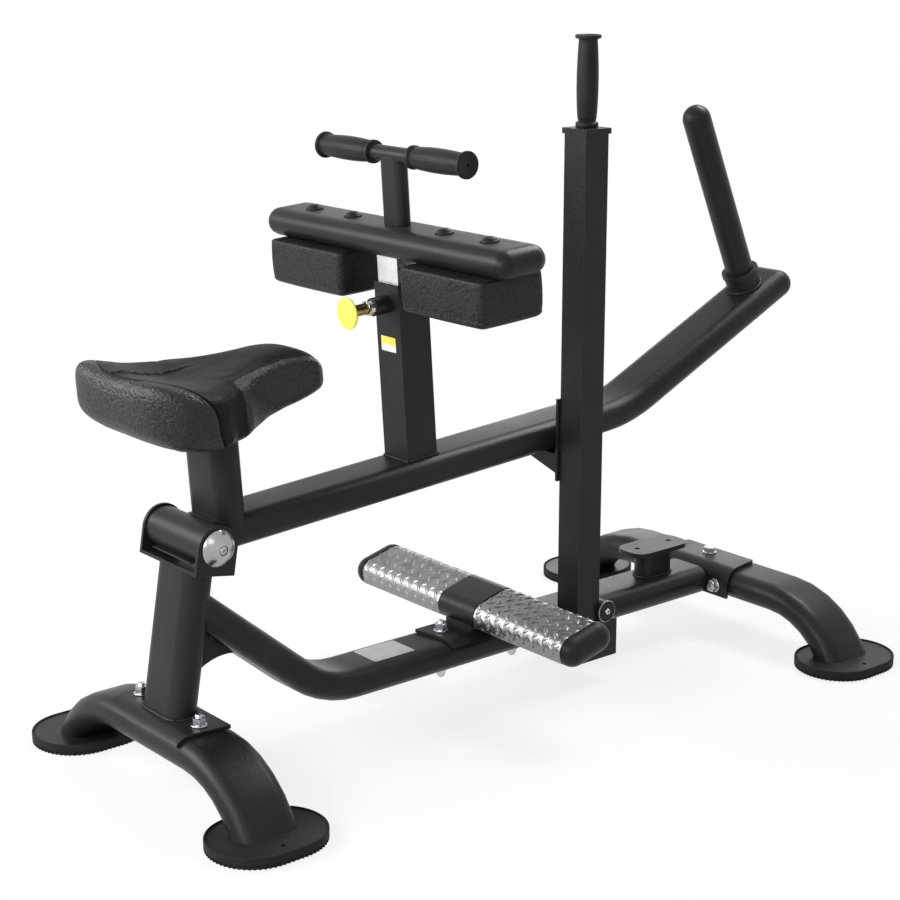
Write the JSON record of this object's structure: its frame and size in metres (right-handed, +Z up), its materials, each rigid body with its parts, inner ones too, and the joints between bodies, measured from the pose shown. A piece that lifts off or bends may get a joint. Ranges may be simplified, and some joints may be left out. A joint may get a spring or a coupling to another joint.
{
  "type": "seated calf raise machine",
  "caption": "Bench-height leg machine: a hinged, plate-loaded lever arm with a saddle seat, adjustable thigh pads, a weight horn, a footboard and a safety catch post on a bent tube base.",
  "frame": {"origin": "on the floor under the middle of the machine's box", "axes": "+X from the seat towards the weight horn, +Y across the machine away from the catch post, +Z up"},
  "size_m": [1.4258, 0.8038, 1.0953],
  "materials": {
    "black_coat": "satin powder coat",
    "leather": "pebble grain, satin",
    "grip_rubber": "matte",
    "shoe_rubber": "matte",
    "zinc_steel": "zinc plated",
    "chrome": "polished",
    "brass": "turned",
    "tread_plate": "bright raised-bar plate",
    "black_plastic": "moulded",
    "yellow_plastic": "moulded"
  },
  "bodies": {
    "base": {"front_stabiliser": "black_coat", "rear_stabiliser": "black_coat", "rubber_shoe_front_near": "shoe_rubber", "rubber_shoe_front_far": "shoe_rubber", "rubber_shoe_rear_near": "shoe_rubber", "rubber_shoe_rear_far": "shoe_rubber", "front_saddle": "black_coat", "front_saddle_bolt_near": "zinc_steel", "front_saddle_bolt_far": "zinc_steel", "rear_saddle": "black_coat", "rear_saddle_bolt_top": "zinc_steel", "rear_saddle_bolt_near": "zinc_steel", "rear_saddle_bolt_far": "zinc_steel", "base_post": "black_coat", "base_tube": "black_coat", "post_gusset": "black_coat", "pivot_bracket": "black_coat", "pivot_axle": "zinc_steel", "pivot_cap_near": "chrome", "pivot_cap_far": "chrome", "stop_post": "black_coat", "step_bracket": "black_coat", "step_bolt_front": "zinc_steel", "step_bolt_rear": "zinc_steel", "step_bar": "black_coat", "step_tread_near": "tread_plate", "step_cap_near": "black_plastic", "step_tread_far": "tread_plate", "step_cap_far": "black_plastic", "catch_bracket": "black_coat", "catch_pivot_bolt": "chrome"},
    "lever": {"pivot_tube": "black_coat", "pivot_bearing_near": "brass", "pivot_bearing_far": "brass", "lever_arm": "black_coat", "seat_post": "black_coat", "seat_pan": "black_coat", "seat_cushion": "leather", "thigh_post": "black_coat", "pin_housing": "black_coat", "weight_horn": "black_coat", "horn_cap": "grip_rubber", "horn_collar": "grip_rubber"},
    "carriage": {"inner_post": "chrome", "thigh_bar": "black_coat", "thigh_pad_near": "leather", "pad_bolt_near_inner": "black_plastic", "pad_bolt_near_outer": "black_plastic", "thigh_pad_far": "leather", "pad_bolt_far_inner": "black_plastic", "pad_bolt_far_outer": "black_plastic", "handle_stem": "black_coat", "handlebar": "black_coat", "handle_grip_near": "grip_rubber", "handle_grip_far": "grip_rubber"},
    "pin": {"pin_plunger": "brass", "pin_knob": "yellow_plastic"},
    "catch": {"catch_post": "black_coat", "catch_grip": "grip_rubber", "catch_shelf": "black_coat"}
  },
  "joints": [
    {"name": "lever_hinge", "type": "hinge", "parent": "base", "child": "lever", "pos_m": [-0.57979, 0, 0.388], "axis": [0, -1, 0], "range_deg": [0, 12]},
    {"name": "carriage_slide", "type": "slide", "parent": "lever", "child": "carriage", "axis": [-0.0645, 0, 0.9979], "range_m": [-0.04, 0.1]},
    {"name": "pin_pull", "type": "slide", "parent": "lever", "child": "pin", "axis": [-0.9979, 0, -0.0645], "range_m": [0, 0.01], "stiffness_N_per_m": 600, "springref_m": -0.004},
    {"name": "catch_hinge", "type": "hinge", "parent": "base", "child": "catch", "pos_m": [0.17421, -0.085, 0.128], "axis": [0, 1, 0], "range_deg": [0, 12]}
  ]
}
